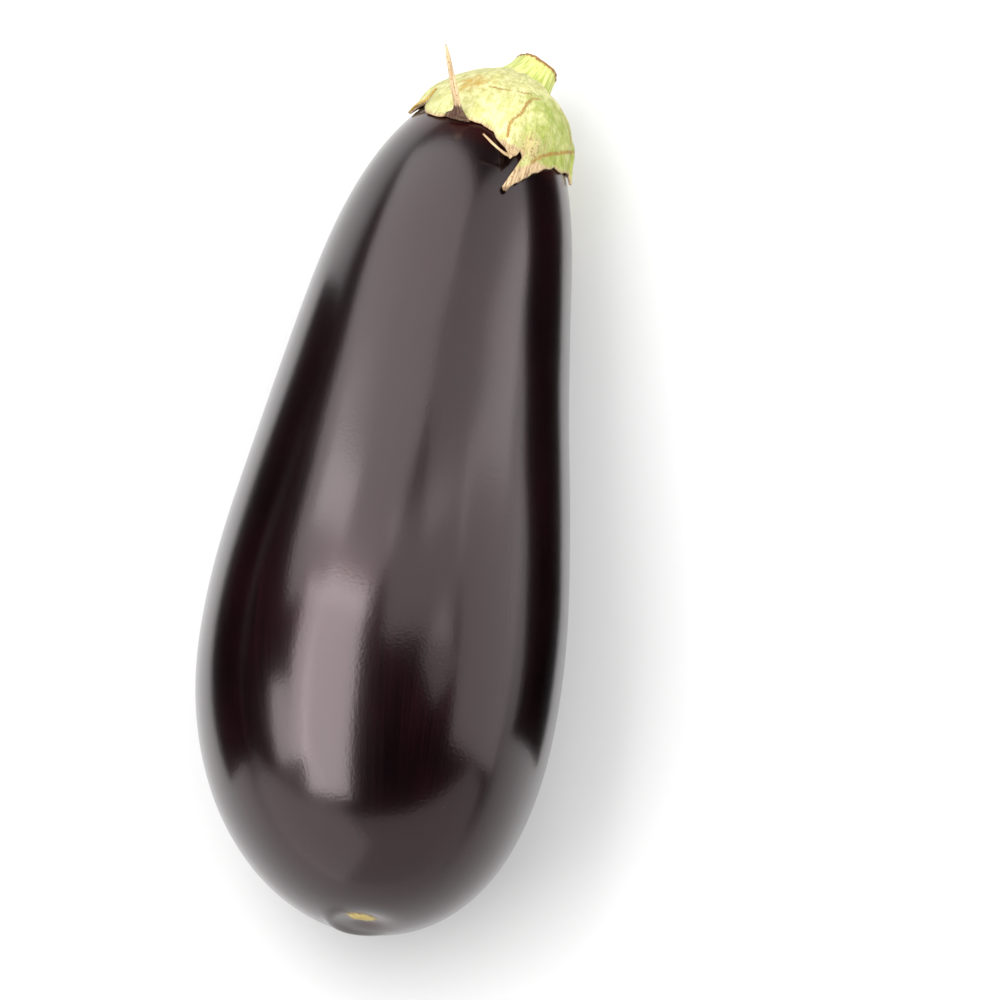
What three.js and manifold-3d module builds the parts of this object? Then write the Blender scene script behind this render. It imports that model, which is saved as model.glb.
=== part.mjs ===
// An eggplant lying on its side, as picked: the berry, its calyx and the stub of its stem.
//
// Millimetres, +Z up. The origin is on the floor under the weight of the fruit, the stem points towards +Y
// and the bow of the fruit lies flat. Points on the fruit are named by two angles: `down` is 0 at the stem
// pole and 180 at the blossom pole, and `round` goes round the axis, 0 on top and positive towards +X.

import * as THREE from 'three';
import { mergeVertices } from 'three/addons/utils/BufferGeometryUtils.js';
import Module from 'manifold-3d';

const wasm = await Module();
wasm.setup();

// Driving dimensions of the fruit.
const FRUIT_LENGTH = 229; // along the bowed axis, from pole to pole
const HALF_GIRTH = [45.6, -11.6, 4.95, 0.65, -0.75, -0.58]; // sin(down) * sum of [k] * cos(k * down)
const AXIS_HEADING = [15, -48, 27]; // degrees away from +Y: sum of [k] * q ** k, q = 0 at the stem
const AXIS_SWAY = [1.5, -0.8]; // sideways waves of the axis, [0] * sin(2 pi q) + [1] * sin(3 pi q)
const NECK_DROP = 7.5; // degrees that the stem end hangs below the level
const FLAT_SPOT_DEPTH = 0.25; // how far the belly is pressed flat where the fruit lies

// The blossom end, in millimetres across the end of the fruit: x to the side, z up.
const DIMPLE = { x: -1.8, z: 1.2, radius: 6.2, depth: 1.3 };
const SCAR = { x: -2.8, z: 4.9, halfWidth: 3.3, halfHeight: 2.0, rise: 0.55, steepness: 6 };
const LIP = { x: -1.8, z: 0.4, radius: 9.0, width: 2.2, rise: 0.55, towards: 235 };

// Driving dimensions of the calyx. Heights are over the skin, and spans on the cap are in degrees.
const SKIN_GAP = 0.3; // between the calyx and the skin that it hugs
const EDGE_HEIGHT = 1.15;
const CAP_HEIGHT = 3.5;
const EDGE_FADE = 5.0; // span of `down` from the edge in which the cap thickens
const COLLAR = { rise: 1.7, reach: 9 }; // swelling round the foot of the stem
const RIDGE = { rise: 0.5, width: 9, sink: 0.4 }; // rib along each lobe; `sink` lowers what is between ribs
const RIB_ANGLES = [-64, -14, 18, 42, 79, 140, 222];
const SHOULDER = { rise: 1.3, round: 58, down: 23, across: 34, along: 11 }; // the fuller side of the cap
const BUMPS = { rise: 0.22, waves: [[7, 9], [3, -17]] }; // each wave as its counts in `round` and `down`

// The edge of the calyx as [round, down], one stretch from each pointed tip to the next.
const EDGE = [
  [[-64, 36.2], [-55, 33.0], [-45, 34.2], [-32, 37.0], [-20, 38.8], [-8, 37.8], [1, 37.9], [8, 39.6],
    [14.5, 41.9], [20.3, 44.8]],
  [[20.3, 44.8], [25.3, 41.9], [28.6, 46.8]],
  [[28.6, 46.8], [33.6, 45.2], [40, 42.9], [48.5, 40.3], [60, 38.2], [70, 36.0], [79, 36.6]],
  [[79, 36.6], [86, 33.4], [104, 31.6], [125, 34.8], [140, 44.5]],
  [[140, 44.5], [151, 35.6], [172, 31.6], [192, 31.4], [211, 35.8], [222, 45.5]],
  [[222, 45.5], [235, 35.6], [254, 31.2], [275, 30.6], [287, 32.6], [296, 36.2]],
];

// Narrow dry ends of the lobes: `path` is [round, down, height], `across` turns the flat side.
const BENT_BACK = {
  path: [[-14, 38.4, 0.2], [-13.5, 38.2, 4.0], [-16.5, 36.9, 9.5], [-27, 30.6, 14.8]],
  widths: [6.8, 4.0, 1.5, 1.3, 1.9, 1.6, 0.7],
  thickness: 0.8,
  across: 0,
};
const THREAD = {
  path: [[22, 42.6, 0.9], [18, 44.2, 1.6], [10.5, 44.3, 3.2], [4.5, 44.4, 5.2]],
  widths: [1.6, 0.9, 0.8, 0.7],
  thickness: 0.7,
  across: 90,
};
const LONG_TIP = {
  path: [[33, 43.2, 0.9], [28, 46.9, 0.95], [24, 50.0, 0.8], [21.2, 52.4, 0.75]],
  widths: [5.4, 3.2, 2.2, 1.7, 0.9],
  thickness: 0.8,
  across: 40,
};
const LIFTED_EDGE = {
  path: [[-42, 31.4, 2.1], [-48, 32.6, 2.2], [-57, 33.2, 1.8], [-64, 35.2, 1.1]],
  widths: [0.8, 1.4, 1.6, 1.0],
  thickness: 0.8,
  across: 60,
};
const SHORT_TIP = {
  path: [[78, 34.6, 1.0], [80, 36.6, 0.9], [78, 39.4, 0.8]],
  widths: [2.6, 1.1, 0.7],
  thickness: 0.7,
  across: 0,
};
const UNDER_TIP_RIGHT = {
  path: [[140, 40.5, 1.1], [141, 45.0, 0.9], [144, 48.6, 0.9]],
  widths: [3.4, 1.8, 0.8],
  thickness: 0.8,
  across: 0,
};
const UNDER_TIP_LEFT = {
  path: [[222, 41.5, 1.1], [221, 46.0, 0.9], [217, 50.0, 0.9]],
  widths: [3.4, 1.8, 0.8],
  thickness: 0.8,
  across: 0,
};
const TIPS = [BENT_BACK, THREAD, LONG_TIP, LIFTED_EDGE, SHORT_TIP, UNDER_TIP_RIGHT, UNDER_TIP_LEFT];

// Driving dimensions of the stem, from the stem pole of the skin.
const STEM_FOOT = [1.7, 1.2, -0.6]; // centre of the foot, in x, y and z from the stem pole
const STEM_CUT = [5.4, 8.5, -0.7]; // centre of the cut end, likewise
const STEM_HEADING = 22.6; // degrees from +Y towards +X at the cut
const STEM_DROP = 2.5; // degrees below the level at the cut
const STEM_BEND = 4.5; // length over which the stem takes its last direction
const STEM_RADII = [7.6, 7.4, 6.9, 6.3, 5.9, 5.75]; // from the foot to the cut
const STEM_RIBS = [{ count: 5, rise: 0.045 }, { count: 13, rise: 0.018 }]; // `rise` is a share of the radius
const CUT_RINGS = [{ scale: 0.88, sink: 0 }, { scale: 0.62, sink: 0.7 }, { scale: 0.3, sink: 0.56 }];
const CUT_MIDDLE_SINK = 0.42;
const SOCKET_GAP = 0.3; // between the stem and the calyx that it grows from

// How finely each surface is divided.
const FRUIT_COLUMNS = 44;
const FRUIT_RINGS = 42;
const BLOSSOM_RINGS = [1.1, 2.2, 3.3, 4.4, 5.6, 7.0, 8.8, 11.0]; // degrees short of the blossom pole
const EDGE_STEPS = 2;
const CAP_OUTER = [0.1, 0.2, 0.3, 0.4, 0.51, 0.62, 0.72, 0.81, 0.89, 0.95, 1];
const CAP_CORE = { depth: 3, fractions: [1, 0.5] }; // below the skin, before the fruit is cut out of the cap
const STEM_COLUMNS = 30;
const STEM_STEPS = 8;
const TIP_STEPS = 4; // for each stretch of a tip's path
const TIP_SECTION = [[1, 0], [0.6, 1], [-0.6, 1], [-1, 0], [-0.6, -1], [0.6, -1]]; // half width and thickness
const AXIS_STEPS = 1600;
const POLE_MARGIN = 0.3; // degrees from a pole at which the skin's normal is taken
const FLOOR_SPAN = 3; // side of the block below the floor, in fruit lengths

const rad = THREE.MathUtils.degToRad;
const LAY = new THREE.Matrix4().makeRotationX(rad(-NECK_DROP));

/** Sum of a list's values, each times the function of its place in the list. */
function series(list, term) {
  return list.reduce((sum, value, index) => sum + value * term(index), 0);
}

/** Half width of the fruit at the angle `down` (radians). */
function halfWidth(down) {
  return Math.sin(down) * series(HALF_GIRTH, (k) => Math.cos(k * down));
}

/** The bowed axis, integrated from its heading: points and headings from the stem (q = 0) on. */
function bowedAxis() {
  const axis = [{ x: 0, y: 0, heading: rad(AXIS_HEADING[0]) }];
  for (let i = 1; i <= AXIS_STEPS; i += 1) {
    const q = i / AXIS_STEPS;
    const heading = rad(series(AXIS_HEADING, (k) => q ** k));
    const last = axis[i - 1];
    const step = FRUIT_LENGTH / AXIS_STEPS;
    const mean = (heading + last.heading) / 2;
    axis.push({ x: last.x - step * Math.sin(mean), y: last.y - step * Math.cos(mean), heading });
  }
  axis.forEach((point, i) => {
    const q = i / AXIS_STEPS;
    point.x += AXIS_SWAY[0] * Math.sin(2 * Math.PI * q) + AXIS_SWAY[1] * Math.sin(3 * Math.PI * q);
  });
  return axis;
}

const AXIS = bowedAxis();

/** Axis point and heading at the angle `down`, between the two nearest steps. */
function axisAt(down) {
  const place = ((1 - Math.cos(down)) / 2) * AXIS_STEPS;
  const i = Math.min(Math.floor(place), AXIS_STEPS - 1);
  const part = place - i;
  const blend = (key) => AXIS[i][key] * (1 - part) + AXIS[i + 1][key] * part;
  return { x: blend('x'), y: blend('y'), heading: blend('heading') };
}

/** Centre of the fruit's volume, in the axis's own frame. */
function weightCentre() {
  const sum = { x: 0, y: 0, volume: 0 };
  for (let i = 0; i < AXIS_STEPS; i += 1) {
    const down = Math.acos(1 - (2 * (i + 0.5)) / AXIS_STEPS);
    const slice = halfWidth(down) ** 2;
    const centre = axisAt(down);
    sum.x += centre.x * slice;
    sum.y += centre.y * slice;
    sum.volume += slice;
  }
  return { x: sum.x / sum.volume, y: sum.y / sum.volume };
}

const WEIGHT = weightCentre();

/** Smooth skin laid down as it rests, with its belly at z = 0 before `lift` is added. */
function laidSkin(round, down, lift = 0) {
  const centre = axisAt(down);
  const half = halfWidth(down);
  const side = half * Math.sin(round);
  const point = new THREE.Vector3(
    centre.x + side * Math.cos(centre.heading) - WEIGHT.x,
    centre.y - side * Math.sin(centre.heading) - WEIGHT.y,
    half * Math.cos(round),
  );
  point.applyMatrix4(LAY);
  point.z += lift;
  return point;
}

/** Height that brings the lowest point of the belly to the flat spot's depth below z = 0. */
function restHeight() {
  let lowest = 0;
  for (let i = 1; i < AXIS_STEPS; i += 1) {
    lowest = Math.min(lowest, laidSkin(Math.PI, (Math.PI * i) / AXIS_STEPS).z);
  }
  return -lowest - FLAT_SPOT_DEPTH;
}

const LIFT = restHeight();

/** Point `height` over the skin at the angles `round` and `down` (degrees), with its outward normal. */
function overSkin(round, down, height = 0) {
  const turn = rad(round);
  const along = rad(THREE.MathUtils.clamp(down, POLE_MARGIN, 180 - POLE_MARGIN));
  const small = 1e-3;
  const point = laidSkin(turn, rad(down), LIFT);
  const ahead = laidSkin(turn, along + small).sub(laidSkin(turn, along - small));
  const aside = laidSkin(turn + small, along).sub(laidSkin(turn - small, along));
  const normal = new THREE.Vector3().crossVectors(ahead, aside).normalize();
  point.addScaledVector(normal, height);
  return { point, normal, ahead: ahead.normalize(), aside: aside.normalize() };
}

/** Smooth hump, 1 at the middle and falling off over `width`. */
function hump(distance, width) {
  return Math.exp(-((distance / width) ** 2));
}

/** Height of the dimple, the scar and the lip at a place across the blossom end. */
function blossomRelief(round, down) {
  const reach = halfWidth(rad(down));
  const x = reach * Math.sin(rad(round));
  const z = reach * Math.cos(rad(round));
  const dimple = -DIMPLE.depth * hump(Math.hypot(x - DIMPLE.x, z - DIMPLE.z), DIMPLE.radius);
  const oval = Math.hypot((x - SCAR.x) / SCAR.halfWidth, (z - SCAR.z) / SCAR.halfHeight);
  const scar = SCAR.rise / (1 + oval ** SCAR.steepness);
  const bearing = Math.atan2(x - LIP.x, z - LIP.z);
  const facing = Math.max(0, Math.cos(bearing - rad(LIP.towards)));
  const lip = LIP.rise * facing * hump(Math.hypot(x - LIP.x, z - LIP.z) - LIP.radius, LIP.width);
  return dimple + scar + lip;
}

/**
 * Closed body from a first point, rings of points and a last point. Its faces point outward whichever way
 * the rings run.
 */
function closedBody(first, rings, last) {
  const count = rings[0].length;
  const points = [first, ...rings.flat(), last];
  const faces = [];
  const at = (ring, column) => 1 + ring * count + (column % count);
  for (let column = 0; column < count; column += 1) {
    faces.push([0, at(0, column), at(0, column + 1)]);
    for (let ring = 0; ring < rings.length - 1; ring += 1) {
      faces.push([at(ring, column), at(ring + 1, column), at(ring + 1, column + 1)]);
      faces.push([at(ring, column), at(ring + 1, column + 1), at(ring, column + 1)]);
    }
    faces.push([points.length - 1, at(rings.length - 1, column + 1), at(rings.length - 1, column)]);
  }
  const volume = faces.reduce((sum, [a, b, c]) => {
    const normal = new THREE.Vector3().crossVectors(points[b], points[c]);
    return sum + points[a].dot(normal);
  }, 0);
  const outward = volume > 0 ? faces : faces.map(([a, b, c]) => [a, c, b]);
  const geometry = new THREE.BufferGeometry().setFromPoints(points);
  geometry.setIndex(outward.flat());
  return geometry;
}

/** Solid of a closed geometry, for joins and cuts. */
function solidOf(geometry) {
  const vertProperties = new Float32Array(geometry.getAttribute('position').array);
  const triVerts = new Uint32Array(geometry.getIndex().array);
  return new wasm.Manifold(new wasm.Mesh({ numProp: 3, vertProperties, triVerts }));
}

/** Geometry of a solid. */
function geometryOf(solid) {
  const mesh = solid.getMesh();
  const geometry = new THREE.BufferGeometry();
  geometry.setAttribute('position', new THREE.BufferAttribute(new Float32Array(mesh.vertProperties), 3));
  geometry.setIndex([...mesh.triVerts]);
  return geometry;
}

/** The berry with its blossom end, before the flat spot is pressed; `grow` makes it larger all round. */
function berry(grow = 0) {
  const ring = (down) => Array.from({ length: FRUIT_COLUMNS }, (_, column) => {
    const round = (360 * column) / FRUIT_COLUMNS;
    return overSkin(round, down, blossomRelief(round, down) + grow).point;
  });
  const rings = [];
  const evenSpan = 180 - BLOSSOM_RINGS.at(-1);
  for (let i = 1; i < FRUIT_RINGS; i += 1) {
    rings.push(ring((evenSpan * i) / FRUIT_RINGS));
  }
  [...BLOSSOM_RINGS].reverse().forEach((short) => rings.push(ring(180 - short)));
  const poles = [overSkin(0, 0, grow), overSkin(0, 180, blossomRelief(0, 180) + grow)];
  return closedBody(poles[0].point, rings, poles[1].point);
}

/** Block below the floor, for pressing the flat spot. */
function floorBlock() {
  const size = FLOOR_SPAN * FRUIT_LENGTH;
  const block = new THREE.BoxGeometry(size, size, size).translate(0, 0, -size / 2);
  block.deleteAttribute('normal');
  block.deleteAttribute('uv');
  return mergeVertices(block);
}

/** Edge of the calyx as smooth stretches between pointed tips, in `round` and `down`. */
function edgePoints() {
  return EDGE.flatMap((stretch) => {
    const curve = new THREE.SplineCurve(stretch.map(([round, down]) => new THREE.Vector2(round, down)));
    return curve.getPoints(EDGE_STEPS * (stretch.length - 1)).slice(0, -1);
  });
}

/** Height of the cap over the skin: thin at the edge, ribbed along the lobes, swollen round the stem. */
function capHeight(round, down, edgeDown) {
  const inward = 1 - Math.exp((down - edgeDown) / EDGE_FADE);
  const body = EDGE_HEIGHT + (CAP_HEIGHT - EDGE_HEIGHT) * inward;
  const away = (angle) => Math.abs(((round - angle + 540) % 360) - 180);
  const rib = Math.max(...RIB_ANGLES.map((angle) => hump(away(angle), RIDGE.width)));
  const relief = RIDGE.rise * (rib - RIDGE.sink) * Math.sin(Math.PI * Math.min(1, down / edgeDown));
  const shoulder = SHOULDER.rise * hump(away(SHOULDER.round), SHOULDER.across)
    * hump(down - SHOULDER.down, SHOULDER.along);
  const [swell, ripple] = BUMPS.waves.map(([inRound, inDown]) => rad(inRound * round + inDown * down));
  const bumps = BUMPS.rise * Math.sin(swell) * Math.cos(ripple);
  return body + (relief + bumps + shoulder) * inward + COLLAR.rise * hump(down, COLLAR.reach);
}

/** The fused cap of the calyx with its pointed edge, still solid down into the fruit. */
function cap() {
  const edge = edgePoints();
  const [firstRound, firstDown] = EDGE[0][0];
  const place = (fraction, index) => {
    const even = firstRound + (360 * index) / edge.length;
    const round = even + (edge[index].x - even) * Math.sqrt(fraction);
    return [round, edge[index].y * fraction, edge[index].y];
  };
  const outer = CAP_OUTER.map((fraction) => edge.map((_, index) => {
    const [round, down, edgeDown] = place(fraction, index);
    return overSkin(round, down, capHeight(round, down, edgeDown)).point;
  }));
  const inner = CAP_CORE.fractions.map((fraction) => edge.map((_, index) => {
    const [round, down] = place(fraction, index);
    return overSkin(round, down, -CAP_CORE.depth).point;
  }));
  const top = overSkin(0, 0, capHeight(0, 0, firstDown)).point;
  return closedBody(top, [...outer, ...inner], overSkin(0, 0, -CAP_CORE.depth).point);
}

/** Value of a list read as a smooth course from its start (0) to its end (1). */
function course(list, part) {
  const place = part * (list.length - 1);
  const i = Math.min(Math.floor(place), list.length - 2);
  return THREE.MathUtils.lerp(list[i], list[i + 1], place - i);
}

/** Narrow flat blade along a path over the skin, for the tip of a lobe. */
function tip({ path, widths, thickness, across }) {
  const curve = new THREE.CatmullRomCurve3(path.map((stop) => overSkin(...stop).point));
  const { ahead, aside } = overSkin(path[0][0], path[0][1]);
  const flat = aside.multiplyScalar(Math.cos(rad(across))).addScaledVector(ahead, Math.sin(rad(across)));
  const steps = TIP_STEPS * (path.length - 1);
  const rings = [];
  for (let i = 0; i <= steps; i += 1) {
    const part = i / steps;
    const tangent = curve.getTangent(part);
    const wide = flat.clone().addScaledVector(tangent, -flat.dot(tangent)).normalize();
    const thick = new THREE.Vector3().crossVectors(tangent, wide);
    const centre = curve.getPoint(part);
    const half = course(widths, part) / 2;
    rings.push(TIP_SECTION.map(([u, v]) => centre.clone()
      .addScaledVector(wide, u * half)
      .addScaledVector(thick, (v * thickness) / 2)));
  }
  return closedBody(curve.getPoint(0), rings, curve.getPoint(1));
}

/** Ribbed stub of the stem, from its foot to its dished cut; `grow` makes it larger all round. */
function stemStub(grow = 0) {
  const pole = overSkin(0, 0);
  const foot = pole.point.clone().add(new THREE.Vector3(...STEM_FOOT)).addScaledVector(pole.normal, -grow);
  const cut = pole.point.clone().add(new THREE.Vector3(...STEM_CUT));
  const end = new THREE.Euler(rad(-STEM_DROP), 0, rad(-STEM_HEADING), 'ZXY');
  const direction = new THREE.Vector3(0, 1, 0).applyEuler(end);
  const bend = cut.clone().addScaledVector(direction, -STEM_BEND);
  const curve = new THREE.QuadraticBezierCurve3(foot, bend, cut);
  const rings = [];
  const ringAt = (part, scale, sink) => {
    const tangent = curve.getTangent(part);
    const side = new THREE.Vector3(0, 0, 1).cross(tangent).normalize();
    const up = new THREE.Vector3().crossVectors(tangent, side);
    const centre = curve.getPoint(part).addScaledVector(tangent, -sink);
    return Array.from({ length: STEM_COLUMNS }, (_, column) => {
      const turn = (2 * Math.PI * column) / STEM_COLUMNS;
      const ribs = STEM_RIBS.reduce((sum, { count, rise }) => sum + rise * Math.cos(count * turn), 0);
      const radius = (course(STEM_RADII, part) * (1 + ribs) + grow) * scale;
      return centre.clone()
        .addScaledVector(side, radius * Math.cos(turn))
        .addScaledVector(up, radius * Math.sin(turn));
    });
  };
  for (let i = 0; i <= STEM_STEPS; i += 1) {
    rings.push(ringAt(i / STEM_STEPS, 1, 0));
  }
  CUT_RINGS.forEach(({ scale, sink }) => rings.push(ringAt(1, scale, sink)));
  return closedBody(foot, rings, curve.getPoint(1).addScaledVector(curve.getTangent(1), -CUT_MIDDLE_SINK));
}

/** Fruit with its flat spot. */
function fruitGeometry() {
  return geometryOf(solidOf(berry()).subtract(solidOf(floorBlock())));
}

/** Cap and tips as one body, hollow for the fruit and with a socket for the stem. */
function calyxGeometry() {
  const whole = TIPS.reduce((body, shape) => body.add(solidOf(tip(shape))), solidOf(cap()));
  return geometryOf(whole.subtract(solidOf(berry(SKIN_GAP))).subtract(solidOf(stemStub(SOCKET_GAP))));
}

/** Named mesh with its own material. */
function piece(name, geometry, colour, roughness) {
  const material = new THREE.MeshStandardMaterial({ color: colour, roughness, metalness: 0 });
  const mesh = new THREE.Mesh(geometry, material);
  mesh.name = name;
  return mesh;
}

const eggplant = new THREE.Group();
eggplant.add(piece('fruit', fruitGeometry(), 0x1c0f18, 0.22));
eggplant.add(piece('calyx', calyxGeometry(), 0xb9cd76, 0.75));
eggplant.add(piece('stem', stemStub(), 0xc3d67c, 0.7));

export default eggplant;
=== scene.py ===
"""Looks of an eggplant that lies on its side: waxed skin, dry-edged calyx and the ribbed stub of its stem.

Sizes are in millimetres and angles in degrees until a mesh is written, which is in metres. A place on the
fruit is named by two angles: `down` is 0 at the stem pole and 180 at the blossom pole, and `turn` goes round
the axis, 0 on top and positive towards +X.
"""

import logging
import math
from dataclasses import dataclass, field
from enum import Enum

import bpy
import numpy as np
from mathutils import Matrix, Vector


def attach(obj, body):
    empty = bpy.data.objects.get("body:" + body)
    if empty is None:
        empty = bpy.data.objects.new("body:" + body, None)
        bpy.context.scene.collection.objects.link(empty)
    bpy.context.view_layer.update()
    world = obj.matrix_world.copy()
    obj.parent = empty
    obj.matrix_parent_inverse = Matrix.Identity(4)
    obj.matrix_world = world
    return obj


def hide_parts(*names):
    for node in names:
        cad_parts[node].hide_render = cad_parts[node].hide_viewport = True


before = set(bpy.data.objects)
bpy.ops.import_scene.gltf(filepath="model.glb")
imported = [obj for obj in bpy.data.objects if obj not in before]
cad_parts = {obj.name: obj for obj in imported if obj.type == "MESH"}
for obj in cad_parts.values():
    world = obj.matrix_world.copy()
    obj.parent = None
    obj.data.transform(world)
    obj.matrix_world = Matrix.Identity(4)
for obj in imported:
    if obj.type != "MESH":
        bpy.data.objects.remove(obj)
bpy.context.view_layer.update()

LOG = logging.getLogger("eggplant")
MM = 0.001
BODY = "root"
SEED = 7

# Sockets of the colour Mix node, whose names repeat for each data type.
MIX_FACTOR, MIX_A, MIX_B, MIX_RESULT = 0, 6, 7, 2

# Inputs that the numbers of a finish's band set: where a pattern starts, where it is full, how strong it is.
BAND = ("From Min", "From Max", "To Max")


class Slot(Enum):
    """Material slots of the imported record."""

    SKIN = "skin"
    CALYX = "calyx"
    STEM = "stem"


def linear(hex_colour: str) -> tuple[float, float, float, float]:
    """Linear RGBA of an sRGB colour.

    Args:
        hex_colour: six hex digits, such as "1c0f18".

    Returns:
        The colour as Blender's sockets take it, with alpha 1.
    """
    parts = [int(hex_colour[i : i + 2], 16) / 255 for i in (0, 2, 4)]
    red, green, blue = (p / 12.92 if p <= 0.04045 else ((p + 0.055) / 1.055) ** 2.4 for p in parts)
    return red, green, blue, 1.0


def add_node(
    tree: bpy.types.NodeTree,
    kind: str,
    settings: dict | None = None,
    links: dict | None = None,
    out: int | str = 0,
) -> bpy.types.NodeSocket | None:
    """Adds one shader node.

    Args:
        tree: node tree that it goes in.
        kind: node type, such as "ShaderNodeBump".
        settings: input name, input number or property name, with its value.
        links: input name or number, with the output socket that feeds it.
        out: number or name of the output that is wanted.

    Returns:
        The wanted output socket, or None from a node without outputs.
    """
    made = tree.nodes.new(kind)
    for name, value in (settings or {}).items():
        if isinstance(name, int) or name in made.inputs:
            made.inputs[name].default_value = value
        else:
            setattr(made, name, value)
    for name, source in (links or {}).items():
        tree.links.new(source, made.inputs[name])
    return made.outputs[out] if len(made.outputs) else None


def smooth_step(value: np.ndarray, low: float, high: float) -> np.ndarray:
    """0 below `low`, 1 above `high`, and 3t^2 - 2t^3 between them."""
    t = np.clip((value - low) / (high - low), 0, 1)
    return t * t * (3 - 2 * t)


def hump(distance: np.ndarray, width: float) -> np.ndarray:
    """Bell curve exp(-(distance / width)^2)."""
    return np.exp(-((distance / width) ** 2))


def turn_from(turn: np.ndarray, angle: float) -> np.ndarray:
    """Shortest way round from `angle` to `turn`, in degrees, -180 to 180."""
    return (turn - angle + 540) % 360 - 180


def turn_away(turn: np.ndarray, angle: float) -> np.ndarray:
    """Shortest way round from `angle` to `turn`, in degrees without sign."""
    return np.abs(turn_from(turn, angle))


def through_points(points: np.ndarray, steps: int) -> np.ndarray:
    """Smooth course through control rows: a uniform Catmull-Rom spline, ends doubled.

    Args:
        points: control rows, one per line.
        steps: samples from each row to the next.

    Returns:
        The sampled rows, the last control row included.
    """
    rows = np.vstack([2 * points[0] - points[1], points, 2 * points[-1] - points[-2]])
    place = np.linspace(0, len(points) - 1, steps * (len(points) - 1) + 1)
    i = np.minimum(place.astype(int), len(points) - 2)
    t = (place - i)[:, None]
    a, b, c, d = rows[i], rows[i + 1], rows[i + 2], rows[i + 3]
    return 0.5 * (2 * b + (c - a) * t + (2 * a - 5 * b + 4 * c - d) * t**2 + (3 * b - a - 3 * c + d) * t**3)


def unit(vectors: np.ndarray) -> np.ndarray:
    """Vectors divided by their lengths."""
    return vectors / np.maximum(np.linalg.norm(vectors, axis=-1, keepdims=True), 1e-9)


def direction(bearing: float, rise: float) -> np.ndarray:
    """Unit vector at degrees from +Y towards +X and degrees up: sin b cos r, cos b cos r, sin r."""
    b, r = math.radians(bearing), math.radians(rise)
    return np.array([math.sin(b) * math.cos(r), math.cos(b) * math.cos(r), math.sin(r)])


def wrapped_grain(radius: float, angle: np.ndarray, along: np.ndarray) -> np.ndarray:
    """Pattern coordinates on a cylinder: radius * cos(angle), radius * sin(angle) and the way along it."""
    return np.stack(np.broadcast_arrays(radius * np.cos(angle), radius * np.sin(angle), along), axis=-1)


def add_object(name: str, data: bpy.types.ID) -> bpy.types.Object:
    """Adds an object to the scene.

    Args:
        name: object's name.
        data: mesh, light or camera that it holds.

    Returns:
        The object.
    """
    made = bpy.data.objects.new(name, data)
    bpy.context.scene.collection.objects.link(made)
    return made


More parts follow.
